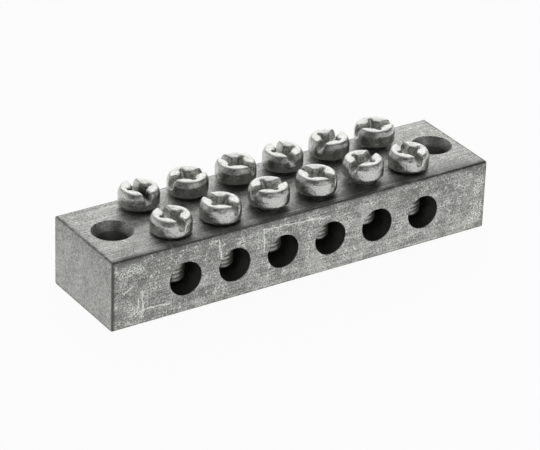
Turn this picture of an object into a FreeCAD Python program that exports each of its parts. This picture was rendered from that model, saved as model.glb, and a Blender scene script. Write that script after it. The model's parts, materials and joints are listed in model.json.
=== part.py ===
"""Earth terminal bar: a drilled and tapped metal bar with two rows of clamp screws. Millimetres.

Frame: +X along the bar, +Y to the rear, +Z up, origin at the middle of the bar's underside.
"""

import FreeCAD
import Part
import Sketcher
import os

# Driving dimensions, each written once
SIZES = {
    # The bar is a length of extruded stock, sawn at both ends
    "bar_width": 20.0,
    "bar_height": 13.5,
    "edge_radius": 0.45,
    "left_end_length": 14.7,
    "right_end_length": 13.8,
    # Wire tunnels, drilled from the front face to the rear face
    "terminal_count": 6,
    "terminal_pitch": 10.0,
    "tunnel_bore": 6.4,
    "tunnel_axis_height": 6.6,
    # Two rows of clamp screws, each at its own distance from its face of the bar
    "front_row_inset": 5.25,
    "rear_row_inset": 3.75,
    "thread_diameter": 4.9,
    "thread_clearance": 0.05,
    # Countersunk holes near the ends, which fix the bar to its base
    "left_fixing_inset": 5.95,
    "right_fixing_inset": 5.05,
    "fixing_shift": 0.3,
    "fixing_bore": 5.4,
    "countersink_mouth": 7.6,
    "countersink_angle": 76.0,
    # Clamp screw: head, whose rounded top edge is turned as two slopes on the arc of this radius
    "head_diameter": 7.5,
    "head_height": 3.3,
    "head_top_radius": 0.85,
    "head_foot_chamfer": 0.25,
    # Clamp screw: shank, as long as leaves a gap between its tip and the tunnel's floor when seated
    "tip_floor_gap": 0.7,
    "tip_chamfer": 0.6,
    # Clamp screw: combination recess, a slot through the rim crossed by a tapered cross
    "slot_mouth": 1.65,
    "slot_floor": 1.15,
    "slot_depth": 1.65,
    "cross_mouth_reach": 2.55,
    "cross_floor_reach": 1.15,
    "cross_mouth_width": 1.25,
    "cross_floor_width": 0.85,
    "cross_depth": 2.3,
    "petal_chamfer": 0.3,
}

# Each screw as it was left: how far its head stands over the bar, and its slot's angle from the bar's length.
# A bar with more terminals repeats them
FRONT_RISES = (0.15, 0.25, 0.75, 0.65, 1.0, 0.25)
FRONT_TURNS = (91.0, 112.0, 6.0, 114.0, 26.0, 88.0)
REAR_RISES = (0.4, 0.35, 0.55, 0.45, 0.5, 0.6)
REAR_TURNS = (86.0, 3.0, 117.0, 86.0, 29.0, 170.0)

# Sizes that follow from the driving dimensions
DERIVED = {
    "bar_length": "=left_end_length + (terminal_count - 1) * terminal_pitch + right_end_length",
    "first_terminal_x": "=left_end_length - bar_length / 2",
    "front_row_y": "=front_row_inset - bar_width / 2",
    "rear_row_y": "=bar_width / 2 - rear_row_inset",
    "thread_bore": "=thread_diameter + 2 * thread_clearance",
    "shank_length": "=bar_height - tunnel_axis_height + tunnel_bore / 2 - tip_floor_gap",
    "crown_step": "=head_top_radius * (1 - cos(45 deg))",
    "left_fixing_x": "=left_fixing_inset - bar_length / 2",
    "right_fixing_x": "=bar_length / 2 - right_fixing_inset",
}

DOC = FreeCAD.newDocument("earth_terminal_bar")


def make_sheet():
    """Write every size into the spreadsheet, with its name as the cell's alias."""
    cells = dict(SIZES)
    for row, rises, turns in (("front", FRONT_RISES, FRONT_TURNS), ("rear", REAR_RISES, REAR_TURNS)):
        for number in range(SIZES["terminal_count"]):
            cells[f"{row}_rise_{number + 1}"] = rises[number % len(rises)]
            cells[f"{row}_turn_{number + 1}"] = turns[number % len(turns)]
    cells.update(DERIVED)
    sheet = DOC.addObject("Spreadsheet::Sheet", "Sizes")
    for line, (name, value) in enumerate(cells.items(), 1):
        sheet.set(f"A{line}", name)
        sheet.set(f"B{line}", str(value))
        sheet.setAlias(f"B{line}", name)
    DOC.recompute()


def value_of(expression):
    """The present value of an expression over the sheet."""
    return float(DOC.getObject("Sizes").evalExpression(expression))


def origin_plane(body, role):
    return next(plane for plane in body.Origin.OriginFeatures if plane.Role == role)


def add_sketch(body, name, role, off_plane="0"):
    """A sketch on one of the body's own origin planes, lifted off it along the plane's normal."""
    sketch = body.newObject("Sketcher::SketchObject", name)
    sketch.AttachmentSupport = [(origin_plane(body, role), "")]
    sketch.MapMode = "FlatFace"
    sketch.setExpression("AttachmentOffset.Base.z", off_plane)
    return sketch


def place_point(sketch, edge, end, x, y):
    """Hold one point of a sketch at coordinates that are expressions over the sheet."""
    for kind, axis, expression in (("DistanceX", -2, x), ("DistanceY", -1, y)):
        value = value_of(expression)
        if value == 0:
            sketch.addConstraint(Sketcher.Constraint("PointOnObject", edge, end, axis))
        else:
            number = sketch.addConstraint(Sketcher.Constraint(kind, -1, 1, edge, end, value))
            sketch.setExpression(f"Constraints[{number}]", expression)


def add_circle(sketch, diameter, x="0", y="0"):
    centre = FreeCAD.Vector(value_of(x), value_of(y), 0)
    normal = FreeCAD.Vector(0, 0, 1)
    edge = sketch.addGeometry(Part.Circle(centre, normal, value_of(diameter) / 2))
    number = sketch.addConstraint(Sketcher.Constraint("Diameter", edge, value_of(diameter)))
    sketch.setExpression(f"Constraints[{number}]", diameter)
    place_point(sketch, edge, 3, x, y)


def add_polygon(sketch, corners):
    """A closed outline of straight lines between corners given as pairs of expressions."""
    points = [FreeCAD.Vector(value_of(x), value_of(y), 0) for x, y in corners]
    lines = [Part.LineSegment(a, b) for a, b in zip(points, points[1:] + points[:1])]
    edges = sketch.addGeometry(lines, False)
    for edge, following in zip(edges, edges[1:] + edges[:1]):
        sketch.addConstraint(Sketcher.Constraint("Coincident", edge, 2, following, 1))
    for edge, (x, y) in zip(edges, corners):
        place_point(sketch, edge, 1, x, y)


def add_rectangle(sketch, width, height):
    """A rectangle centred on the sketch's origin."""
    x, y = f"({width}) / 2", f"({height}) / 2"
    add_polygon(sketch, [(f"-{x}", f"-{y}"), (x, f"-{y}"), (x, y), (f"-{x}", y)])


def add_feature(body, kind, name, profile=None, **bound):
    """A feature of the body with its sizes bound to the sheet."""
    feature = body.newObject("PartDesign::" + kind, name)
    if profile is not None:
        feature.Profile = profile
    for size, expression in bound.items():
        feature.setExpression(size, expression)
    return feature


def dress(body, kind, name, is_wanted, **bound):
    """A fillet or chamfer on those edges of the body's last feature that pass a test."""
    DOC.recompute()
    base = body.Tip
    wanted = [f"Edge{n}" for n, edge in enumerate(base.Shape.Edges, 1) if is_wanted(edge)]
    feature = add_feature(body, kind, name, **bound)
    feature.Base = (base, wanted)
    return feature


def make_bar():
    """The bar: rounded stock, then tunnels, tapped screw holes and countersunk fixing holes."""
    body = DOC.addObject("PartDesign::Body", "bar")
    stock = add_sketch(body, "stock_section", "YZ_Plane")
    half, top = "Sizes.bar_width / 2", "Sizes.bar_height"
    add_polygon(stock, [("-" + half, "0"), (half, "0"), (half, top), ("-" + half, top)])
    length = add_feature(body, "Pad", "sawn_length", stock, Length="Sizes.bar_length")
    length.SideType = "Symmetric"

    def is_long(edge):
        return abs(edge.tangentAt(edge.FirstParameter).x) > 0.99

    dress(body, "Fillet", "extruded_edges", is_long, Radius="Sizes.edge_radius")

    tunnel_circle = add_sketch(body, "tunnel_circle", "XZ_Plane", "Sizes.bar_width / 2")
    add_circle(tunnel_circle, "Sizes.tunnel_bore", "Sizes.first_terminal_x", "Sizes.tunnel_axis_height")
    tunnel = add_feature(body, "Pocket", "wire_tunnel", tunnel_circle, Length="Sizes.bar_width")
    hole_circles = add_sketch(body, "screw_hole_circles", "XY_Plane", "Sizes.bar_height")
    for row_y in ("Sizes.front_row_y", "Sizes.rear_row_y"):
        add_circle(hole_circles, "Sizes.thread_bore", "Sizes.first_terminal_x", row_y)
    into_tunnel = "Sizes.bar_height - Sizes.tunnel_axis_height"
    screw_holes = add_feature(body, "Pocket", "screw_holes", hole_circles, Length=into_tunnel)

    all_but_first = "(Sizes.terminal_count - 1) * Sizes.terminal_pitch"
    terminals = add_feature(
        body, "LinearPattern", "terminals", Length=all_but_first, Occurrences="Sizes.terminal_count"
    )
    terminals.Originals = [tunnel, screw_holes]
    terminals.Direction = (hole_circles, ["H_Axis"])
    body.Tip = terminals

    fixings = add_sketch(body, "fixing_circles", "XY_Plane", "Sizes.bar_height")
    for x in ("Sizes.left_fixing_x", "Sizes.right_fixing_x"):
        add_circle(fixings, "Sizes.fixing_bore", x, "Sizes.fixing_shift")
    DOC.recompute()
    holes = add_feature(body, "Hole", "fixing_holes", fixings)
    holes.DepthType = "ThroughAll"
    holes.HoleCutType = "Countersink"
    holes.HoleCutCustomValues = True
    holes.setExpression("Diameter", "Sizes.fixing_bore")
    holes.setExpression("HoleCutDiameter", "Sizes.countersink_mouth")
    holes.setExpression("HoleCutCountersinkAngle", "Sizes.countersink_angle")
    return body


def make_screw(row, number):
    """A clamp screw in its place: its own underside of the head at its origin, its slot along its own X."""
    body = DOC.addObject("PartDesign::Body", f"{row}_screw_{number}")
    head, thread = "Sizes.head_diameter / 2", "Sizes.thread_diameter / 2"
    top, tip = "Sizes.head_height", "-Sizes.shank_length"
    outline = [
        ("0", tip),
        (f"{thread} - Sizes.tip_chamfer", tip),
        (thread, f"{tip} + Sizes.tip_chamfer"),
        (thread, "0"),
        (f"{head} - Sizes.head_foot_chamfer", "0"),
        (head, "Sizes.head_foot_chamfer"),
        (head, f"{top} - Sizes.head_top_radius"),
        (f"{head} - Sizes.crown_step", f"{top} - Sizes.crown_step"),
        (f"{head} - Sizes.head_top_radius", top),
        ("0", top),
    ]
    profile = add_sketch(body, "turned_profile", "XZ_Plane")
    add_polygon(profile, outline)
    turned = add_feature(body, "Revolution", "turned_blank", profile)
    turned.ReferenceAxis = (profile, ["V_Axis"])
    turned.Angle = 360
    cut_slot(body)
    cut_cross(body)
    dress(body, "Chamfer", "petal_corners", is_petal_corner, Size="Sizes.petal_chamfer")

    body.setExpression("Placement.Base.x", f"Sizes.first_terminal_x + {number - 1} * Sizes.terminal_pitch")
    body.setExpression("Placement.Base.y", f"Sizes.{row}_row_y")
    body.setExpression("Placement.Base.z", f"Sizes.bar_height + Sizes.{row}_rise_{number}")
    body.Placement.Rotation = FreeCAD.Rotation(FreeCAD.Vector(0, 0, 1), 1)
    body.setExpression("Placement.Rotation.Angle", f"Sizes.{row}_turn_{number}")
    return body


def cut_slot(body):
    """The slot with leaning walls, cut right through the head's rim."""
    section = add_sketch(body, "slot_section", "YZ_Plane")
    top, bottom = "Sizes.head_height", "Sizes.head_height - Sizes.slot_depth"
    mouth, floor = "Sizes.slot_mouth / 2", "Sizes.slot_floor / 2"
    add_polygon(section, [("-" + floor, bottom), (floor, bottom), (mouth, top), ("-" + mouth, top)])
    slot = add_feature(body, "Pocket", "slot", section, Length="Sizes.head_diameter * 2")
    slot.SideType = "Symmetric"


def cut_cross(body):
    """The cross: two tapered wings at right angles, of which one lies in the slot."""
    mouth = add_sketch(body, "wing_mouth", "XY_Plane", "Sizes.head_height")
    add_rectangle(mouth, "Sizes.cross_mouth_width", "2 * Sizes.cross_mouth_reach")
    floor = add_sketch(body, "wing_floor", "XY_Plane", "Sizes.head_height - Sizes.cross_depth")
    add_rectangle(floor, "Sizes.cross_floor_width", "2 * Sizes.cross_floor_reach")
    wing = add_feature(body, "SubtractiveLoft", "wing", mouth)
    wing.Sections = [floor]
    wing.Ruled = True
    cross = add_feature(body, "PolarPattern", "cross")
    cross.Originals = [wing]
    cross.Axis = (mouth, ["N_Axis"])
    cross.Angle = 90
    cross.Occurrences = 2
    body.Tip = cross


def is_petal_corner(edge):
    """Whether an edge is one of the four upright corners between the slot and the crossing wing."""
    ends = [vertex.Point for vertex in edge.Vertexes]
    if len(ends) < 2:
        return False
    top = max(ends, key=lambda end: end.z)
    low = min(ends, key=lambda end: end.z)
    at_corner = (
        abs(abs(top.x) - value_of("Sizes.cross_mouth_width") / 2) < 1e-6
        and abs(abs(top.y) - value_of("Sizes.slot_mouth") / 2) < 1e-6
    )
    return at_corner and top.z - low.z > value_of("Sizes.slot_depth") / 2


def main():
    make_sheet()
    bodies = [make_bar()]
    for row in ("front", "rear"):
        for number in range(1, SIZES["terminal_count"] + 1):
            bodies.append(make_screw(row, number))
    DOC.recompute()

    for item in DOC.Objects:
        if "Invalid" in item.State or "Error" in item.State:
            raise RuntimeError(f"{item.Name} failed: {item.State}")
    for body in bodies:
        if body.Shape.isNull() or not body.Shape.isValid() or len(body.Shape.Solids) != 1:
            raise RuntimeError(f"{body.Label} isn't one valid solid")

    os.makedirs("parts", exist_ok=True)
    for body in bodies:
        body.Shape.exportStep(f"parts/{body.Label}.step")
        print(body.Label, "volume", round(body.Shape.Volume, 2), "mm3")


main()
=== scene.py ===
"""The looks of a drilled earth terminal bar: a dull extruded bar and twelve bright clamp screws.

The pieces are drawn in millimetres, at a thousand times their size, and brought to metres at the end,
because Blender's mesh tools merge points that lie closer than a tenth of a millimetre.
Frame: +X along the bar, +Y to the rear, +Z up, origin at the middle of the bar's underside.
"""

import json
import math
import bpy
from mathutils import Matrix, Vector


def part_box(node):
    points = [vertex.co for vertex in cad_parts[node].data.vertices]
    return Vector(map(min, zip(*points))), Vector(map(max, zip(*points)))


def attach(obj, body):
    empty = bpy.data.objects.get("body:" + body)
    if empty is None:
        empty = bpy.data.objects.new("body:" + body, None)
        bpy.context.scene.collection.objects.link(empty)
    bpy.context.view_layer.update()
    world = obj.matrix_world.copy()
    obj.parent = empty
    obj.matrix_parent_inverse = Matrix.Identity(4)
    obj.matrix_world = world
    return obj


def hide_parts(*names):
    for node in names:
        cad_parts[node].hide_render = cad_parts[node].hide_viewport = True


bl_info = {
    "name": "Earth terminal bar",
    "version": (1, 0, 0),
    "blender": (4, 5, 0),
    "location": "3D View > Sidebar > Earth Bar",
    "description": "Models a drilled earth terminal bar with its clamp screws, and a plain studio around it",
    "category": "Add Mesh",
}

from contextlib import contextmanager

import bmesh
import bpy
from bpy.props import FloatProperty, FloatVectorProperty, IntProperty, PointerProperty
from mathutils import Euler, Matrix, Vector

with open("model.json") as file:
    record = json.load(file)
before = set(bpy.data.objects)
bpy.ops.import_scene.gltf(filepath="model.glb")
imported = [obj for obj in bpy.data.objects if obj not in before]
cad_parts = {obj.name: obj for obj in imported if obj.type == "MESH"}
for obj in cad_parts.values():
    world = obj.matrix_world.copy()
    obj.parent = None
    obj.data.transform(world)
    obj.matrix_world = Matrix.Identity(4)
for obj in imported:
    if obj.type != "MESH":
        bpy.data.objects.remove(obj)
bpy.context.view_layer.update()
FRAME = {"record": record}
MM = 0.001
MOUNTS = {mount["name"]: mount for mount in FRAME["record"]["mounts"]}

# Each screw's slot was left at its own angle from the bar's length. They are in degrees, from the left of
# the photograph
SLOT_ANGLES = {
    "front": (91.0, 112.0, 6.0, 114.0, 26.0, 88.0),
    "rear": (86.0, 3.0, 117.0, 86.0, 29.0, 170.0),
}

# The soft openings in the studio's walls: turn from straight behind the object and height, both in
# degrees, and strength
OPENINGS = ((0, 12, 1.62), (0, 50, 0.72), (0, 90, 0.4), (135, 12, 0.8), (270, 12, 0.75))


def linear(code):
    """An sRGB colour written as hex, such as #8A8B88, in the linear values that Blender's colours hold."""
    shares = [int(code[i : i + 2], 16) / 255 for i in (1, 3, 5)]
    return [s / 12.92 if s <= 0.04045 else ((s + 0.055) / 1.055) ** 2.4 for s in shares]


def length(name, description, millimetres):
    return FloatProperty(
        name=name, description=description, default=millimetres * MM, min=0.0, precision=5, unit="LENGTH"
    )


def angle(name, description, degrees):
    return FloatProperty(name=name, description=description, default=math.radians(degrees), subtype="ANGLE")


def colour(name, description, code):
    return FloatVectorProperty(
        name=name, description=description, default=linear(code), min=0.0, max=1.0, subtype="COLOR"
    )


class EarthBarStock(bpy.types.PropertyGroup):
    """The bar's own sizes and colours, apart from those that the frame's record gives, such as the bores."""

    edge_radius: length("Edge radius", "Rounding of the four extruded edges", 0.45)
    end_bevel: length("End bevel", "Small bevel that sawing and tumbling leave round each end face", 0.12)
    mouth_bevel: length("Mouth bevel", "Broken edge round each drilled mouth", 0.07)
    screw_hole: length("Screw hole", "Bore of each tapped hole", 5.0)
    countersink_mouth: length("Countersink mouth", "Width of each fixing hole's countersink at the top", 7.6)
    countersink_angle: angle("Countersink angle", "Full angle of the countersinks", 76)
    metal: colour("Metal", "Clean dull aluminium", "#C6C7C3")
    stain: colour("Stain", "Darker oxide between the scratches", "#7E7F7B")
    scratch: colour("Scratch", "Bare metal in the scratches", "#F0F1EC")
    # Also the colour of the painted shade and painted dark bands along the edges
    edge_oxide_and_painted_shade: colour("Edge oxide", "Dark oxide and dirt along the edges", "#5C5D59")
    # The colour of the painted shade inside the bores and tunnels
    bore_painted_shade: colour("Bore oil", "Drilled walls, dull with cutting oil", "#767671")


class EarthBarScrew(bpy.types.PropertyGroup):
    """The clamp screws' sizes and colours."""

    head_diameter: length("Head diameter", "Width of the round head", 7.5)
    head_height: length("Head height", "From the underside of the head to its top", 3.3)
    shoulder_height: length("Shoulder height", "Height of the sloped shoulder round the crown", 1.0)
    shoulder_inset: length("Shoulder inset", "How far the shoulder leans in", 0.42)
    crown_radius: length("Crown radius", "Rounding of the head's top edge", 0.22)
    foot_radius: length("Foot radius", "Rounding of the head's lower edge", 0.45)
    slot_mouth: length("Slot mouth", "Width of the slot at the top", 1.5)
    slot_floor: length("Slot floor", "Width of the slot's floor", 0.95)
    slot_depth: length("Slot depth", "Depth of the slot, which runs out through the rim", 1.8)
    wing_mouth: length("Wing mouth", "Width of the cross's wings at the top", 0.85)
    wing_floor: length("Wing floor", "Width of the cross's wings at its floor", 0.6)
    mouth_reach: length("Mouth reach", "From the axis to a wing's end at the top", 2.35)
    floor_reach: length("Floor reach", "From the axis to a wing's end at the floor", 1.15)
    cross_depth: length("Cross depth", "Depth of the cross", 2.5)
    pit_mouth: length("Pit mouth", "Radius of the round pit that the cross opens into, at the top", 1.5)
    pit_floor: length("Pit floor", "Radius of the pit at the cross's floor", 1.0)
    dish_mouth: length("Dish mouth", "Radius of the shallow dish that slopes the petals inwards", 2.6)
    dish_floor: length("Dish floor", "Radius of the dish's floor", 1.5)
    dish_depth: length("Dish depth", "Depth of the dish", 0.15)
    thread_diameter: length("Thread diameter", "Over the crests of the thread", 4.9)
    thread_pitch: length("Thread pitch", "Rise of the thread in one turn", 0.8)
    tip_bevel: length("Tip bevel", "Bevel of the shank's tip", 0.6)
    softness: length("Softness", "Size of the remesh that softens the plated edges", 0.11)
    smoothing: IntProperty(
        name="Smoothing", description="Passes that round off the remeshed head", default=12, min=0
    )
    plating: colour("Plating", "Bright zinc plating", "#D0D0CC")
    frost: colour("Frost", "Plating in the small hollows of its grain", "#A8A8A4")
    # Also the colour of the painted shade deeper in the recess
    dirt_and_painted_shade: colour("Dirt", "Grease and dirt in the recess", "#5A5A54")


class EarthBarStudio(bpy.types.PropertyGroup):
    """The photograph's camera, and plain soft light."""

    aim: FloatVectorProperty(
        name="Aim",
        description="Point that the camera looks at",
        default=(0.000728, 0.002488, 0.004645),
        subtype="TRANSLATION",
        unit="LENGTH",
        precision=5,
    )
    distance: length("Distance", "From the camera to its aim", 545.75)
    azimuth: angle("Azimuth", "Turn of the view from the rear", 33.539)
    elevation: angle("Elevation", "Height of the camera", 28.057)
    roll: angle("Roll", "Tilt of the picture", 1.96)
    lens: FloatProperty(
        name="Lens",
        description="Focal length on a 36 mm sensor",
        default=202.07,
        subtype="DISTANCE_CAMERA",
    )
    paper: colour("Paper", "Floor under the object", "#F4F4F2")
    room: FloatProperty(
        name="Room", description="Light from the dark parts of the room", default=0.02, min=0.0
    )
    opening_edge: FloatProperty(
        name="Opening edge",
        description="How fast an opening's light falls off round its middle",
        default=7.0,
        min=0.1,
    )


def only(piece):
    """Make a piece the one selected and active object."""
    bpy.ops.object.select_all(action="DESELECT")
    piece.select_set(True)
    bpy.context.view_layer.objects.active = piece


def settle(piece):
    """Write a piece's place, turn and scale into its mesh."""
    only(piece)
    bpy.ops.object.transform_apply(location=True, rotation=True, scale=True)
    return piece


def add_primitive(kind, name, **sizes):
    """A new primitive with its place already in its mesh."""
    bpy.ops.object.select_all(action="DESELECT")
    getattr(bpy.ops.mesh, f"primitive_{kind}_add")(**sizes)
    bpy.context.object.name = name
    return settle(bpy.context.object)


@contextmanager
def editing(piece, parts="EDGE"):
    """Edit mode on one piece, with nothing selected in it."""
    only(piece)
    bpy.ops.object.mode_set(mode="EDIT")
    bpy.ops.mesh.select_mode(type=parts)
    bpy.ops.mesh.select_all(action="DESELECT")
    yield
    bpy.ops.object.mode_set(mode="OBJECT")


def pick(piece, parts, is_wanted):
    """Select the verts, edges or faces of a piece in edit mode that pass a test."""
    mesh = bmesh.from_edit_mesh(piece.data)
    for part in getattr(mesh, parts):
        if is_wanted(part):
            part.select_set(True)
    bmesh.update_edit_mesh(piece.data)


def bevel_edges(piece, is_wanted, offset, segments):
    with editing(piece):
        pick(piece, "edges", is_wanted)
        bpy.ops.mesh.bevel(offset=offset, segments=segments, affect="EDGES", clamp_overlap=False)


def apply_modifier(piece, kind, **settings):
    only(piece)
    modifier = piece.modifiers.new(kind.lower(), kind)
    for name, value in settings.items():
        setattr(modifier, name, value)
    bpy.ops.object.modifier_apply(modifier=modifier.name)


def combine(piece, tool, operation):
    """Cut a piece with a tool, join them or keep what they share. The tool is used up."""
    apply_modifier(piece, "BOOLEAN", object=tool, operation=operation, solver="EXACT")
    bpy.data.meshes.remove(tool.data)


def weld(piece):
    """Merge the slivers that cutting leaves, thinner than a thousandth of a millimetre."""
    with editing(piece, "VERT"):
        bpy.ops.mesh.select_all(action="SELECT")
        bpy.ops.mesh.remove_doubles(threshold=0.001)


def near(a, b):
    return abs(a - b) < 1e-3


def lies_at(edge, axis, value):
    """Whether both ends of an edge are at a value on the x, y or z axis."""
    return all(near(getattr(vertex.co, axis), value) for vertex in edge.verts)


def runs_along_x(edge):
    start, end = (vertex.co for vertex in edge.verts)
    return near(start.y, end.y) and near(start.z, end.z)


def tapered_box(name, low, high, bottom, top):
    """A box round the Z axis from one height to another, with its own length and width at each."""
    box = add_primitive(
        "cube", name, size=1, scale=(low[0], low[1], top - bottom), location=(0, 0, (top + bottom) / 2)
    )
    with editing(box, "FACE"):
        pick(box, "faces", lambda face: face.normal.z > 0.9)
        bpy.ops.transform.resize(value=(high[0] / low[0], high[1] / low[1], 1))
    return box


def drill_bit(name, radius, bottom, top, *mouths):
    """A round cutter up the Z axis, which widens at its mouths like a countersink.

    A mouth is a side, -1 for the bottom or 1 for the top, its radius there, and the slope of its cone.
    """
    past_face = 1.0
    ends = {-1: bottom, 1: top}
    for side, mouth, slope in mouths:
        ends[side] -= side * (mouth - radius) / slope
    bit = add_primitive(
        "cylinder",
        name,
        vertices=96,
        radius=radius,
        depth=ends[1] - ends[-1],
        location=(0, 0, (ends[1] + ends[-1]) / 2),
    )
    for side, mouth, slope in mouths:
        rise = (mouth - radius) / slope + past_face
        widening = 1 + rise * slope / radius
        with editing(bit, "FACE"):
            pick(bit, "faces", lambda face: face.normal.z * side > 0.9)
            bpy.ops.mesh.extrude_region_move(TRANSFORM_OT_translate={"value": (0, 0, side * rise)})
            bpy.ops.transform.resize(value=(widening, widening, 1))
    return bit


def drawn_on(low, high, depth, extra):
    """A size at the mouth of a tapered cut, carried on past the mouth by an extra height."""
    return high + (high - low) * extra / depth


def bar_sizes():
    """The bar's box and drilling in millimetres, from the frame."""
    low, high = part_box("bar")
    tunnels = [mount for name, mount in sorted(MOUNTS.items()) if name.startswith("wire_tunnel")]
    fixing = MOUNTS["fixing_holes"]
    reach = fixing["dims"]["spacing_x_mm"] / 2
    middle = Vector(fixing["pos_m"]) / MM
    return {
        "low": low / MM,
        "high": high / MM,
        "tunnel_places": [Vector(mount["pos_m"]) / MM for mount in tunnels],
        "tunnel_radius": tunnels[0]["dims"]["r_mm"],
        "fixing_places": [middle + Vector((side * reach, 0, 0)) for side in (-1, 1)],
        "fixing_radius": fixing["dims"]["hole_r_mm"],
    }


def screw_places(head_height):
    """Each screw's body, the point under its head in millimetres, and its slot's angle."""
    places = []
    for row, angles in SLOT_ANGLES.items():
        for number, slot_angle in enumerate(angles, 1):
            body = f"{row}_screw_{number}"
            low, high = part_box(body)
            middle = (low + high) / 2 / MM
            under_head = Vector((middle.x, middle.y, high.z / MM - head_height))
            places.append((body, under_head, math.radians(slot_angle)))
    return places


# Materials


def add_node(tree, kind, settings=None, inputs=None):
    """One node with its settings and inputs, which are named, or numbered among the inputs in use.

    An input takes a value, a socket, or a node, which gives its first output in use. On a map range, inputs
    1 and 2 are the range that it reads, and 3 and 4 the range that it gives.
    """
    node = tree.nodes.new("ShaderNode" + kind)
    for name, value in (settings or {}).items():
        setattr(node, name, value)
    sockets = [socket for socket in node.inputs if socket.enabled]
    for key, value in (inputs or {}).items():
        socket = sockets[key] if isinstance(key, int) else next(s for s in sockets if s.name == key)
        if isinstance(value, bpy.types.Node):
            value = next(output for output in value.outputs if output.enabled)
        if isinstance(value, bpy.types.NodeSocket):
            tree.links.new(value, socket)
        elif socket.type == "RGBA":
            socket.default_value = (*value, 1)
        else:
            socket.default_value = value
    return node


def new_material(name):
    material = bpy.data.materials.new(name)
    material.use_nodes = True
    material.node_tree.nodes.clear()
    return material, material.node_tree


def place_in_millimetres(tree):
    """Object coordinates in millimetres, so that every pattern's scale is a real size."""
    place = add_node(tree, "TexCoord").outputs["Object"]
    return add_node(tree, "VectorMath", {"operation": "SCALE"}, {"Vector": place, "Scale": 1 / MM})


def finish_metal(tree, base, roughness, relief, strength, distance):
    """A metal surface from its colour, its roughness, and a relief whose distance is in metres."""
    bump = add_node(tree, "Bump", None, {"Strength": strength, "Distance": distance, "Height": relief})
    shader = add_node(
        tree,
        "BsdfPrincipled",
        None,
        {"Base Color": base, "Metallic": 1.0, "Roughness": roughness, "Normal": bump},
    )
    add_node(tree, "OutputMaterial", None, {"Surface": shader})


def nearness_to_lines(tree, place, lines, reach):
    """From 1 on some lines to 0 at a distance from them. Each line is a row of points in millimetres."""
    nearest = 1000.0
    for line in lines:
        for start, end in zip(line, line[1:]):
            along = Vector(end) - Vector(start)
            offset = add_node(tree, "VectorMath", {"operation": "SUBTRACT"}, {0: place, 1: start})
            share = add_node(
                tree, "VectorMath", {"operation": "DOT_PRODUCT"}, {0: offset, 1: along / along.length_squared}
            )
            share = add_node(tree, "Clamp", None, {"Value": share})
            foot = add_node(tree, "VectorMath", {"operation": "SCALE"}, {"Vector": along, "Scale": share})
            distance = add_node(tree, "VectorMath", {"operation": "DISTANCE"}, {0: offset, 1: foot})
            nearest = add_node(tree, "Math", {"operation": "MINIMUM"}, {0: distance, 1: nearest})
    return add_node(tree, "MapRange", None, {"Value": nearest, 1: reach * 0.3, 2: reach, 3: 1.0, 4: 0.0})


def depths_in_box(tree, place, low, high):
    """How far a point lies inside a box, in millimetres.

    Four distances: to the nearest edge, to an end, to an end or side, and to the top or bottom.
    """
    middle, half = (low + high) / 2, (high - low) / 2
    offset = add_node(tree, "VectorMath", {"operation": "SUBTRACT"}, {0: place, 1: middle})
    offset = add_node(tree, "VectorMath", {"operation": "ABSOLUTE"}, {0: offset})
    offset = add_node(tree, "VectorMath", {"operation": "SUBTRACT"}, {0: half, 1: offset})
    x, y, z = add_node(tree, "SeparateXYZ", None, {0: offset}).outputs
    lesser = add_node(tree, "Math", {"operation": "MINIMUM"}, {0: x, 1: y})
    greater = add_node(tree, "Math", {"operation": "MAXIMUM"}, {0: x, 1: y})
    edge = add_node(tree, "Math", {"operation": "MINIMUM"}, {0: greater, 1: z})
    edge = add_node(tree, "Math", {"operation": "MAXIMUM"}, {0: lesser, 1: edge})
    return edge, x, lesser, z


# Marks seen on the front face, as rows of points on it in millimetres along and up: scratches, rubbed
# patches and dark stains
FRONT_SCRATCHES = (
    ((-33.35, 6.4), (-33.1, 2.5)),
    ((-34.6, 2.6), (-32.5, 2.75), (-30.1, 2.85), (-27.7, 2.5)),
    ((-34.1, 5.2), (-34.0, 3.4)),
    ((-18.0, 12.4), (-17.6, 10.3), (-17.3, 8.5)),
    ((-8.7, 12.1), (-8.5, 7.7)),
    ((-8.8, 12.0), (5.1, 11.1)),
    ((-36.9, 6.8), (-36.1, 7.4), (-35.2, 7.9)),
)
FRONT_RUBS = (
    ((-37.2, 11.0), (-33.6, 10.8)),
    ((37.3, 8.1), (37.8, 9.4)),
    ((38.9, 4.4), (37.9, 5.0)),
    ((36.3, 2.4), (37.6, 2.8)),
    ((-35.2, 3.2), (-34.2, 2.6)),
)
FRONT_STAINS = (
    ((-35.8, 9.2), (-34.6, 9.8), (-33.6, 8.0), (-32.8, 8.8)),
    ((-21.4, 3.6), (-21.1, 3.2)),
    ((11.0, 9.9), (11.3, 9.5)),
)


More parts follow.
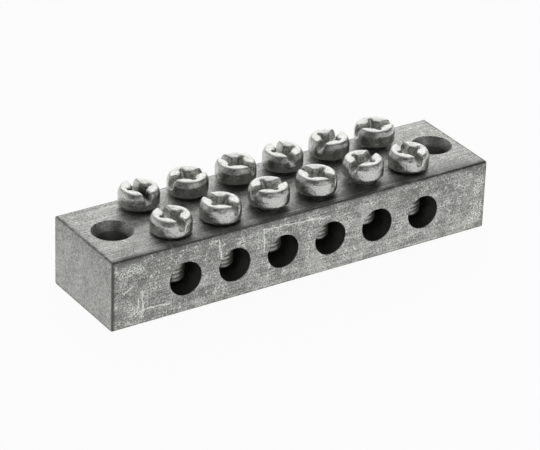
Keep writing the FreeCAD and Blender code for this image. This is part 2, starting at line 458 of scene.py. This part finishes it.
def dull_aluminium(stock):
    """Extruded aluminium, sawn, drilled and tumbled with its swarf.

    It gives a dull grey with a fine peppered grain, worm-like nicks and rubs of bare metal, dark oxide and
    painted shade along the edges, painted shade in the bores and towards the left and the upper edge of the
    outer faces, and faint lines along the extrusion.
    """
    material, tree = new_material("dull_extruded_aluminium")
    low, high = (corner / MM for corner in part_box("bar"))
    place = place_in_millimetres(tree)
    edge_depth, end_depth, side_depth, top_depth = depths_in_box(tree, place, low, high)
    scratches, rubs, stains = (
        [[(x, low.y, z) for x, z in line] for line in lines]
        for lines in (FRONT_SCRATCHES, FRONT_RUBS, FRONT_STAINS)
    )
    # Grains of 0.3 mm: the real ones are finer, too fine to show
    grain = add_node(
        tree, "TexNoise", None, {"Vector": place, "Scale": 3.4, "Detail": 2.0, "Roughness": 0.7}
    )
    # Clouds of oxide, 4 mm across
    cloud = add_node(
        tree, "TexNoise", None, {"Vector": place, "Scale": 0.28, "Detail": 4.0, "Roughness": 0.65}
    )
    # Extrusion lines 0.3 mm apart, each about 15 mm long
    stretched = add_node(tree, "VectorMath", {"operation": "MULTIPLY"}, {0: place, 1: (0.06, 3.0, 3.0)})
    lines = add_node(tree, "TexNoise", None, {"Vector": stretched, "Scale": 1.0, "Detail": 2.0})
    # Nicks a millimetre or two long: the places where a noise crosses its middle, broken up by the grain
    wander = add_node(
        tree, "TexNoise", None, {"Vector": place, "Scale": 1.3, "Detail": 2.0, "Roughness": 0.6}
    )
    nick = add_node(tree, "Math", {"operation": "SUBTRACT"}, {0: wander, 1: 0.5})
    nick = add_node(tree, "Math", {"operation": "ABSOLUTE"}, {0: nick})
    nick = add_node(tree, "MapRange", None, {"Value": nick, 1: 0.01, 2: 0.038, 3: 1.0, 4: 0.0})
    patch = add_node(
        tree, "TexNoise", None, {"Vector": place, "Scale": 0.5, "Detail": 4.0, "Roughness": 0.75}
    )
    patch = add_node(tree, "MapRange", None, {"Value": patch, 1: 0.46, 2: 0.6})
    nick = add_node(tree, "Math", {"operation": "MULTIPLY"}, {0: nick, 1: patch})
    # The scratches and rubs that show most, a little unsteady as a hand makes them
    sway = add_node(tree, "TexNoise", None, {"Vector": place, "Scale": 0.8, "Detail": 2.0}).outputs["Color"]
    sway = add_node(tree, "VectorMath", {"operation": "SUBTRACT"}, {0: sway, 1: (0.5, 0.5, 0.5)})
    sway = add_node(tree, "VectorMath", {"operation": "MULTIPLY"}, {0: sway, 1: (0.8, 0.0, 0.8)})
    swayed = add_node(tree, "VectorMath", {"operation": "ADD"}, {0: place, 1: sway})
    scratch = nearness_to_lines(tree, swayed, scratches, 0.2)
    broken = add_node(tree, "MapRange", None, {"Value": grain, 1: 0.35, 2: 0.55, 3: 0.3, 4: 1.0})
    scratch = add_node(tree, "Math", {"operation": "MULTIPLY"}, {0: scratch, 1: broken})
    rub = nearness_to_lines(tree, swayed, rubs, 1.5)
    speckled = add_node(tree, "MapRange", None, {"Value": grain, 1: 0.46, 2: 0.58})
    rub = add_node(tree, "Math", {"operation": "MULTIPLY"}, {0: rub, 1: speckled})
    bare = add_node(tree, "Math", {"operation": "MAXIMUM"}, {0: nick, 1: scratch})
    bare = add_node(tree, "Math", {"operation": "MAXIMUM"}, {0: bare, 1: rub})
    # The sawn ends and the drilled walls are smoother than the sides, and the top a little smoother
    off_end = add_node(tree, "Math", {"operation": "GREATER_THAN"}, {0: end_depth, 1: 0.2})
    off_top = add_node(tree, "Math", {"operation": "GREATER_THAN"}, {0: top_depth, 1: 0.3})
    rough = add_node(tree, "MapRange", None, {"Value": off_end, 3: 0.45, 4: 1.0})
    top_rough = add_node(tree, "MapRange", None, {"Value": off_top, 3: 0.7, 4: 1.0})
    rough = add_node(tree, "Math", {"operation": "MINIMUM"}, {0: rough, 1: top_rough})
    outside = add_node(tree, "Math", {"operation": "LESS_THAN"}, {0: side_depth, 1: 0.3})
    drilled = add_node(tree, "Math", {"operation": "SUBTRACT"}, {0: off_top, 1: outside})
    drilled_rough = add_node(tree, "MapRange", None, {"Value": drilled, 3: 1.0, 4: 0.4})
    rough = add_node(tree, "Math", {"operation": "MINIMUM"}, {0: rough, 1: drilled_rough})
    bare = add_node(tree, "Math", {"operation": "MULTIPLY"}, {0: bare, 1: rough})
    # Tone: grain, clouds and lines added up, with painted shade on the outer faces: darker to the left and
    # under the front face's upper edge
    fine = add_node(tree, "MapRange", None, {"Value": grain, 1: 0.37, 2: 0.63, 3: -0.65, 4: 0.65})
    wide = add_node(tree, "MapRange", None, {"Value": cloud, 1: 0.35, 2: 0.65, 3: -0.42, 4: 0.42})
    streak = add_node(tree, "MapRange", None, {"Value": lines, 1: 0.38, 2: 0.62, 3: -0.3, 4: 0.3})
    along, _, up = add_node(tree, "SeparateXYZ", None, {0: place}).outputs
    leftward = add_node(tree, "MapRange", None, {"Value": along, 1: low.x, 2: 15.0, 3: -0.28, 4: 0.0})
    leftward = add_node(tree, "Math", {"operation": "MULTIPLY"}, {0: leftward, 1: off_end})
    upward = add_node(tree, "MapRange", None, {"Value": up, 1: 8.0, 2: 12.5, 3: 0.0, 4: -0.22})
    shade = add_node(tree, "Math", {"operation": "ADD"}, {0: leftward, 1: upward})
    shade = add_node(tree, "Math", {"operation": "MULTIPLY"}, {0: shade, 1: outside})
    tone = fine
    for part in (wide, streak, shade):
        tone = add_node(tree, "Math", {"operation": "ADD"}, {0: tone, 1: part})
    tone = add_node(tree, "Math", {"operation": "MULTIPLY_ADD"}, {0: tone, 1: rough, 2: 0.47})
    base = add_node(tree, "Mix", {"data_type": "RGBA"}, {0: tone, 1: stock.stain, 2: stock.metal})
    base = add_node(tree, "Mix", {"data_type": "RGBA"}, {0: bare, 1: base, 2: stock.scratch})
    # Oxide and dirt along the edges, with a ragged limit, and painted shade there too; most of it, on the
    # upper front edge and down the left corner, is painted dark reflection of the rounded edges
    ragged = add_node(tree, "MapRange", None, {"Value": wander, 1: 0.3, 2: 0.7, 3: 0.0, 4: 0.5})
    ragged = add_node(tree, "Math", {"operation": "ADD"}, {0: edge_depth, 1: ragged})
    dirt_and_painted_shade_mask = add_node(tree, "MapRange", None, {"Value": ragged, 1: 0.3, 2: 0.75, 3: 0.85, 4: 0.0})
    breaks = add_node(tree, "MapRange", None, {"Value": cloud, 1: 0.38, 2: 0.58, 3: 0.95, 4: 0.5})
    upper_edge = [(end.x, low.y + 0.3, high.z + 0.1) for end in (low, high)]
    upper = nearness_to_lines(tree, swayed, [upper_edge], 1.1)
    left_corner = [(low.x + 0.05, low.y, end.z) for end in (low, high)]
    corner = nearness_to_lines(tree, swayed, [left_corner], 0.6)
    caked_dirt_and_painted_shade = add_node(tree, "Math", {"operation": "MULTIPLY"}, {0: upper, 1: breaks})
    caked_dirt_and_painted_shade = add_node(tree, "Math", {"operation": "MAXIMUM"}, {0: caked_dirt_and_painted_shade, 1: corner})
    dirt_and_painted_shade_mask = add_node(tree, "Math", {"operation": "MAXIMUM"}, {0: dirt_and_painted_shade_mask, 1: caked_dirt_and_painted_shade})
    stained = nearness_to_lines(tree, swayed, stains, 0.9)
    stained = add_node(tree, "Math", {"operation": "MULTIPLY"}, {0: stained, 1: 0.45})
    dirt_and_painted_shade_mask = add_node(tree, "Math", {"operation": "MAXIMUM"}, {0: dirt_and_painted_shade_mask, 1: stained})
    # Smudges on the top in front of the screws, drawn out along the bar
    smudged = [(x, low.y, high.z) for x in (-22.0, 34.0)]
    smudge = nearness_to_lines(tree, place, [smudged], 5.0)
    drawn = add_node(tree, "MapRange", None, {"Value": lines, 1: 0.4, 2: 0.6, 3: 0.15, 4: 0.9})
    smudge = add_node(tree, "Math", {"operation": "MULTIPLY"}, {0: smudge, 1: drawn})
    on_top = add_node(tree, "Math", {"operation": "SUBTRACT"}, {0: 1.0, 1: off_top})
    smudge = add_node(tree, "Math", {"operation": "MULTIPLY"}, {0: smudge, 1: on_top})
    dirt_and_painted_shade_mask = add_node(tree, "Math", {"operation": "MAXIMUM"}, {0: dirt_and_painted_shade_mask, 1: smudge})
    base = add_node(tree, "Mix", {"data_type": "RGBA"}, {0: dirt_and_painted_shade_mask, 1: base, 2: stock.edge_oxide_and_painted_shade})
    # Painted shade on the drilled walls, darker below the countersinks and inside the tunnels' mouths
    past_sink = add_node(tree, "Math", {"operation": "SUBTRACT"}, {0: top_depth, 1: 1.4})
    inside = add_node(tree, "Math", {"operation": "MINIMUM"}, {0: side_depth, 1: past_sink})
    painted_bore_shade = add_node(tree, "MapRange", None, {"Value": inside, 1: 0.0, 2: 0.2, 3: 0.0, 4: 0.9})
    base = add_node(tree, "Mix", {"data_type": "RGBA"}, {0: painted_bore_shade, 1: base, 2: stock.bore_painted_shade})
    roughness = add_node(tree, "MapRange", None, {"Value": cloud, 1: 0.3, 2: 0.7, 3: 0.42, 4: 0.55})
    relief = add_node(tree, "Math", {"operation": "MULTIPLY_ADD"}, {0: bare, 1: -0.5, 2: grain})
    finish_metal(tree, base, roughness, relief, strength=0.35, distance=0.00003)
    return material


def bright_zinc(screw):
    """Cold-forged steel with bright zinc plating, tumbled in the barrel that plated it.

    It gives a pale, slightly frosted mirror with a fine grain, small pits and shallow dents, dull grease and
    painted shade down in the recess, darker the deeper it goes, and a duller thread.
    """
    material, tree = new_material("bright_zinc_plated_steel")
    place = place_in_millimetres(tree)
    # Frost of 0.2 mm, and pits of the same size a millimetre apart
    frost = add_node(
        tree, "TexNoise", None, {"Vector": place, "Scale": 5.0, "Detail": 3.0, "Roughness": 0.65}
    )
    cell = add_node(tree, "TexVoronoi", None, {"Vector": place, "Scale": 1.1})
    pit = add_node(tree, "MapRange", None, {"Value": cell, 1: 0.06, 2: 0.16, 3: 1.0, 4: 0.0})
    recess = add_node(tree, "Attribute", {"attribute_name": "recess"}).outputs["Fac"]
    smear = add_node(tree, "TexNoise", None, {"Vector": place, "Scale": 0.9, "Detail": 3.0})
    smear = add_node(tree, "MapRange", None, {"Value": smear, 1: 0.45, 2: 0.65, 3: 0.0, 4: 0.2})
    # The first rear screw is the dirtiest
    low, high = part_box("rear_screw_1")
    dirtiest = (low + high) / 2 / MM
    caked_dirt_and_painted_shade = nearness_to_lines(tree, place, [(dirtiest, dirtiest + Vector((0, 0, 10)))], 4.0)
    smear = add_node(tree, "Math", {"operation": "MAXIMUM"}, {0: smear, 1: caked_dirt_and_painted_shade})
    # Painted shade with the grease: darker the deeper a point lies in the recess
    dirt_and_painted_shade_mask = add_node(tree, "Math", {"operation": "MULTIPLY"}, {0: recess, 1: smear})
    tone = add_node(tree, "MapRange", None, {"Value": frost, 1: 0.36, 2: 0.56})
    base = add_node(tree, "Mix", {"data_type": "RGBA"}, {0: tone, 1: screw.frost, 2: screw.plating})
    base = add_node(tree, "Mix", {"data_type": "RGBA"}, {0: dirt_and_painted_shade_mask, 1: base, 2: screw.dirt_and_painted_shade})
    roughness = add_node(tree, "MapRange", None, {"Value": frost, 1: 0.3, 2: 0.7, 3: 0.3, 4: 0.18})
    duller = add_node(tree, "Math", {"operation": "MULTIPLY"}, {0: recess, 1: 0.4})
    roughness = add_node(tree, "Math", {"operation": "MAXIMUM"}, {0: roughness, 1: duller})
    # The thread is duller than the head, from the tapped hole's cutting oil
    height = add_node(tree, "SeparateXYZ", None, {0: place}).outputs["Z"]
    duller = add_node(tree, "MapRange", None, {"Value": height, 1: 10.0, 2: 13.0, 3: 0.5, 4: 0.0})
    roughness = add_node(tree, "Math", {"operation": "MAXIMUM"}, {0: roughness, 1: duller})
    # Shallow dents 1 mm across, from one screw knocking on another in the barrel
    dent = add_node(tree, "TexNoise", None, {"Vector": place, "Scale": 1.0, "Detail": 1.0})
    relief = add_node(tree, "Math", {"operation": "MULTIPLY_ADD"}, {0: pit, 1: -1.0, 2: frost})
    relief = add_node(tree, "Math", {"operation": "MULTIPLY_ADD"}, {0: dent, 1: 3.0, 2: relief})
    finish_metal(tree, base, roughness, relief, strength=0.9, distance=0.00005)
    return material


def dress(piece, material, body, node):
    """Finish a piece: metres, smooth shading, its material, and its place in the frame."""
    piece.scale = (MM, MM, MM)
    settle(piece)
    bpy.ops.object.shade_smooth_by_angle(angle=math.radians(40))
    piece.data.materials.clear()
    piece.data.materials.append(material)
    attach(piece, body)
    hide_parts(node)


class EARTHBAR_OT_make_bar(bpy.types.Operator):
    """Model the drilled bar"""

    bl_idname = "earthbar.make_bar"
    bl_label = "Drilled bar"

    def execute(self, context):
        stock = context.scene.earth_bar_stock
        sizes = bar_sizes()
        bar = self.saw_stock(stock, sizes)
        self.drill(bar, stock, sizes)
        weld(bar)
        dress(bar, dull_aluminium(stock), "bar", "bar")
        return {"FINISHED"}

    def saw_stock(self, stock, sizes):
        low, high = sizes["low"], sizes["high"]
        bar = add_primitive("cube", "drilled_bar", size=1, scale=high - low, location=(low + high) / 2)
        bevel_edges(bar, runs_along_x, stock.edge_radius / MM, 6)
        bevel_edges(
            bar,
            lambda edge: lies_at(edge, "x", low.x) or lies_at(edge, "x", high.x),
            stock.end_bevel / MM,
            2,
        )
        return bar

    def drill(self, bar, stock, sizes):
        low, high = sizes["low"], sizes["high"]
        radius, bevel = sizes["fixing_radius"], stock.mouth_bevel / MM
        countersink = (1, stock.countersink_mouth / MM / 2, math.tan(stock.countersink_angle / 2))
        underside = (-1, radius + bevel, 1)
        for place in sizes["fixing_places"]:
            bit = drill_bit("fixing_drill", radius, low.z, high.z, countersink, underside)
            bit.location = (place.x, place.y, 0)
            combine(bar, settle(bit), "DIFFERENCE")
        radius = sizes["tunnel_radius"]
        mouths = [(side, radius + bevel, 1) for side in (1, -1)]
        for place in sizes["tunnel_places"]:
            bit = drill_bit("tunnel_drill", radius, low.y, high.y, *mouths)
            bit.rotation_euler.x = -math.pi / 2
            bit.location = (place.x, 0, place.z)
            combine(bar, settle(bit), "DIFFERENCE")
        radius = stock.screw_hole / MM / 2
        for _, place, _ in screw_places(0):
            bit = drill_bit("tap", radius, sizes["tunnel_places"][0].z, high.z, (1, radius + bevel * 3, 1))
            bit.location = (place.x, place.y, 0)
            combine(bar, settle(bit), "DIFFERENCE")


class EARTHBAR_OT_make_screws(bpy.types.Operator):
    """Model one clamp screw and set its copies into the bar"""

    bl_idname = "earthbar.make_screws"
    bl_label = "Clamp screws"

    def execute(self, context):
        screw = context.scene.earth_bar_screw
        low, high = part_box("front_screw_1")
        shank_length = (high.z - low.z) / MM - screw.head_height / MM
        master = self.head(screw)
        combine(master, self.shank(screw, shank_length), "UNION")
        weld(master)
        self.mark_recess(master, screw)
        plating = bright_zinc(screw)
        for body, place, slot_angle in screw_places(screw.head_height / MM):
            copy = master.copy()
            copy.data = master.data.copy()
            copy.name = "clamp_screw_" + body.replace("_screw", "")
            context.collection.objects.link(copy)
            copy.rotation_euler.z = slot_angle
            copy.location = place
            settle(copy)
            dress(copy, plating, body, body)
        bpy.data.meshes.remove(master.data)
        return {"FINISHED"}

    def head(self, screw):
        """The cold-forged head: a punched recess, then softened edges, and its size restored."""
        radius, height = screw.head_diameter / MM / 2, screw.head_height / MM
        shoulder, inset = screw.shoulder_height / MM, screw.shoulder_inset / MM
        wall = height - shoulder
        head = add_primitive(
            "cylinder", "clamp_screw", vertices=96, radius=radius, depth=wall, location=(0, 0, wall / 2)
        )
        with editing(head, "FACE"):
            pick(head, "faces", lambda face: face.normal.z > 0.9)
            bpy.ops.mesh.extrude_region_move(TRANSFORM_OT_translate={"value": (0, 0, shoulder)})
            bpy.ops.transform.resize(value=(1 - inset / radius, 1 - inset / radius, 1))
        bevel_edges(head, lambda edge: lies_at(edge, "z", height), screw.crown_radius / MM, 8)
        bevel_edges(head, lambda edge: lies_at(edge, "z", 0), screw.foot_radius / MM, 4)
        combine(head, self.recess(screw), "DIFFERENCE")
        apply_modifier(head, "REMESH", mode="VOXEL", voxel_size=screw.softness / MM)
        # The crown and the recess are rounded off more than the foot
        with editing(head, "VERT"):
            pick(head, "verts", lambda vertex: vertex.co.z > height * 0.25)
            bpy.ops.mesh.vertices_smooth(factor=0.5, repeat=screw.smoothing)
            bpy.ops.mesh.select_all(action="SELECT")
            bpy.ops.mesh.vertices_smooth(factor=0.5, repeat=4)
        # A hair smaller, because the rear heads stand flush with the bar's side and lowered heads rest on it
        width, underside = radius * 1.999, height * 0.003
        head.dimensions = (width, width, height - underside)
        head.location.z = underside
        return settle(head)

    def mark_recess(self, piece, screw):
        """Store each point's depth in the recess for its grease and painted shade, from 0 near the crown to 1
        at the floor.
        """
        height = screw.head_height / MM
        # The crown, the outer wall and the shank get neither grease nor painted shade
        under_floor, rim, clean, fade = 0.4, 0.35, 0.6, 1.2
        reach = screw.head_diameter / MM / 2 - rim
        depths = piece.data.attributes.new("recess", "FLOAT", "POINT").data
        for vertex, depth in zip(piece.data.vertices, depths):
            inside = under_floor < vertex.co.z and vertex.co.xy.length < reach
            share = (height - vertex.co.z - clean) / fade
            depth.value = min(max(share, 0), 1) if inside else 0

    def recess(self, screw):
        """The cutter for the slot, the cross with its pit, and the dish. It stands a little over the head."""
        height, over = screw.head_height / MM, 1.0
        depth = screw.slot_depth / MM
        floor, mouth = screw.slot_floor / MM, screw.slot_mouth / MM
        long = screw.head_diameter / MM * 1.5
        low = (long, floor)
        high = (long, drawn_on(floor, mouth, depth, over))
        cutter = tapered_box("recess_cutter", low, high, height - depth, height + over)
        depth = screw.cross_depth / MM
        low = (screw.floor_reach / MM * 2, screw.wing_floor / MM)
        high = (screw.mouth_reach / MM * 2, screw.wing_mouth / MM)
        high = tuple(drawn_on(a, b, depth, over) for a, b in zip(low, high))
        for turn in (0, math.pi / 2):
            wing = tapered_box("wing_cutter", low, high, height - depth, height + over)
            wing.rotation_euler.z = turn
            combine(cutter, settle(wing), "UNION")
        pit = (screw.pit_floor, screw.pit_mouth, screw.cross_depth)
        dish = (screw.dish_floor, screw.dish_mouth, screw.dish_depth)
        for cone_sizes in (pit, dish):
            floor, mouth, depth = (size / MM for size in cone_sizes)
            cone = add_primitive(
                "cone",
                "recess_cone",
                vertices=48,
                radius1=floor,
                radius2=drawn_on(floor, mouth, depth, over),
                depth=depth + over,
                location=(0, 0, height - depth + (depth + over) / 2),
            )
            combine(cutter, cone, "UNION")
        return cutter

    def shank(self, screw, long):
        """The shank with its thread, cut off and bevelled at the tip, and a little way into the head."""
        crest, pitch = screw.thread_diameter / MM / 2, screw.thread_pitch / MM
        # Half the depth of a real thread, which looks coarser than the photograph at this size
        root, into_head = crest - pitch * 0.3, 0.6
        envelope = add_primitive(
            "cylinder",
            "shank",
            vertices=64,
            radius=crest,
            depth=long + into_head,
            location=(0, 0, (into_head - long) / 2),
        )
        bevel_edges(envelope, lambda edge: lies_at(edge, "z", -long), screw.tip_bevel / MM, 1)
        # The core and its ridge run past both ends, and the envelope trims them
        core = add_primitive(
            "cylinder",
            "core",
            vertices=64,
            radius=root,
            depth=long + 3,
            location=(0, 0, (into_head - long) / 2),
        )
        combine(core, self.thread(crest, root, pitch, long + 2), "UNION")
        combine(envelope, core, "INTERSECT")
        return envelope

    def thread(self, crest, root, pitch, long):
        """The helical ridge of the thread, from below the tip to inside the head."""
        ridge = add_primitive("circle", "thread", vertices=4, radius=1)
        overlap = 0.05
        inner, outer = root - overlap, crest + overlap
        half_root, half_crest = pitch * 0.44, pitch * 0.2
        corners = ((inner, half_root), (inner, -half_root), (outer, -half_crest), (outer, half_crest))
        for vertex, (x, z) in zip(ridge.data.vertices, corners):
            vertex.co = (x, 0, z - long)
        turns = math.ceil((long + 0.5) / pitch)
        apply_modifier(
            ridge, "SCREW", axis="Z", screw_offset=pitch, iterations=turns, steps=48, render_steps=48
        )
        with editing(ridge):
            bpy.ops.mesh.select_all(action="SELECT")
            bpy.ops.mesh.fill_holes(sides=4)
            bpy.ops.mesh.select_all(action="SELECT")
            bpy.ops.mesh.normals_make_consistent(inside=False)
        return ridge


class EARTHBAR_OT_make_stage(bpy.types.Operator):
    """Set up the floor, the soft lights and the photograph's camera"""

    bl_idname = "earthbar.make_stage"
    bl_label = "Studio"

    def execute(self, context):
        studio = context.scene.earth_bar_studio
        self.floor(studio)
        self.world(studio)
        self.camera(studio)
        context.scene.view_settings.view_transform = "Standard"
        return {"FINISHED"}

    def floor(self, studio):
        """Paper under the object, turned up at its far edges so that low views see it too."""
        width, drop, wall = 4.0, 0.00002, 0.25
        floor = add_primitive("plane", "floor", size=width, location=(0, 0, -drop))
        with editing(floor):
            bpy.ops.mesh.select_all(action="SELECT")
            bpy.ops.mesh.extrude_edges_move(TRANSFORM_OT_translate={"value": (0, 0, wall)})
        material, tree = new_material("white_paper")
        seen = add_node(tree, "LightPath").outputs
        pale = seen["Is Camera Ray"]
        for ray in ("Is Glossy Ray", "Is Transmission Ray"):
            pale = add_node(tree, "Math", {"operation": "MAXIMUM"}, {0: pale, 1: seen[ray]})
        # Where the camera or the metal sees it, the paper is nearly all even white, with a faint shadow
        share = add_node(tree, "Math", {"operation": "MULTIPLY"}, {0: pale, 1: 0.95})
        paper = add_node(tree, "BsdfDiffuse", None, {"Color": studio.paper})
        glow = add_node(tree, "Emission", None, {"Strength": 1.0})
        both = add_node(tree, "MixShader", None, {0: share, 1: paper, 2: glow})
        add_node(tree, "OutputMaterial", None, {"Surface": both})
        floor.data.materials.append(material)

    def world(self, studio):
        """A dark room with soft openings in its walls."""
        world = bpy.data.worlds.new("studio")
        bpy.context.scene.world = world
        world.use_nodes = True
        tree = world.node_tree
        tree.nodes.clear()
        toward_sky = add_node(tree, "TexCoord").outputs["Generated"]
        light = studio.room
        for turn, height, strength in OPENINGS:
            turned = Euler((math.radians(height), 0, -studio.azimuth - math.radians(turn)))
            aim = turned.to_matrix() @ Vector((0, 1, 0))
            facing = add_node(tree, "VectorMath", {"operation": "DOT_PRODUCT"}, {0: toward_sky, 1: aim})
            fall = add_node(tree, "Math", {"operation": "SUBTRACT"}, {0: facing, 1: 1.0})
            fall = add_node(tree, "Math", {"operation": "MULTIPLY"}, {0: fall, 1: studio.opening_edge})
            glow = add_node(tree, "Math", {"operation": "EXPONENT"}, {0: fall})
            light = add_node(tree, "Math", {"operation": "MULTIPLY_ADD"}, {0: glow, 1: strength, 2: light})
        background = add_node(tree, "Background", None, {"Color": light, "Strength": 1.0})
        add_node(tree, "OutputWorld", None, {"Surface": background})

    def camera(self, studio):
        camera = bpy.data.cameras.new("camera")
        camera.lens = studio.lens
        camera.sensor_width = 36
        camera.clip_start, camera.clip_end = 0.01, 10
        holder = bpy.data.objects.new("camera", camera)
        bpy.context.collection.objects.link(holder)
        azimuth, elevation, roll = studio.azimuth, studio.elevation, studio.roll
        ahead = Vector(
            (
                math.sin(azimuth) * math.cos(elevation),
                math.cos(azimuth) * math.cos(elevation),
                -math.sin(elevation),
            )
        )
        side = Vector((math.cos(azimuth), -math.sin(azimuth), 0))
        up = side.cross(ahead)
        tilted_side = side * math.cos(roll) + up * math.sin(roll)
        tilted_up = up * math.cos(roll) - side * math.sin(roll)
        turn = Matrix((tilted_side, tilted_up, -ahead)).transposed()
        holder.rotation_euler = turn.to_euler()
        holder.location = Vector(studio.aim) - ahead * studio.distance
        bpy.context.scene.camera = holder


class EARTHBAR_PT_panel(bpy.types.Panel):
    """Sizes and colours of the earth bar, with a button for each piece"""

    bl_idname = "EARTHBAR_PT_panel"
    bl_label = "Earth terminal bar"
    bl_space_type = "VIEW_3D"
    bl_region_type = "UI"
    bl_category = "Earth Bar"

    def draw(self, context):
        for group, operator in (
            ("earth_bar_stock", "earthbar.make_bar"),
            ("earth_bar_screw", "earthbar.make_screws"),
            ("earth_bar_studio", "earthbar.make_stage"),
        ):
            box = self.layout.box()
            settings = getattr(context.scene, group)
            for name in settings.__annotations__:
                box.prop(settings, name)
            box.operator(operator)


CLASSES = (
    EarthBarStock,
    EarthBarScrew,
    EarthBarStudio,
    EARTHBAR_OT_make_bar,
    EARTHBAR_OT_make_screws,
    EARTHBAR_OT_make_stage,
    EARTHBAR_PT_panel,
)


def register():
    for each in CLASSES:
        bpy.utils.register_class(each)
    bpy.types.Scene.earth_bar_stock = PointerProperty(type=EarthBarStock)
    bpy.types.Scene.earth_bar_screw = PointerProperty(type=EarthBarScrew)
    bpy.types.Scene.earth_bar_studio = PointerProperty(type=EarthBarStudio)


def unregister():
    del bpy.types.Scene.earth_bar_stock
    del bpy.types.Scene.earth_bar_screw
    del bpy.types.Scene.earth_bar_studio
    for each in reversed(CLASSES):
        bpy.utils.unregister_class(each)


def main():
    register()
    bpy.ops.earthbar.make_bar()
    bpy.ops.earthbar.make_screws()
    bpy.ops.earthbar.make_stage()


if __name__ == "__main__":
    main()
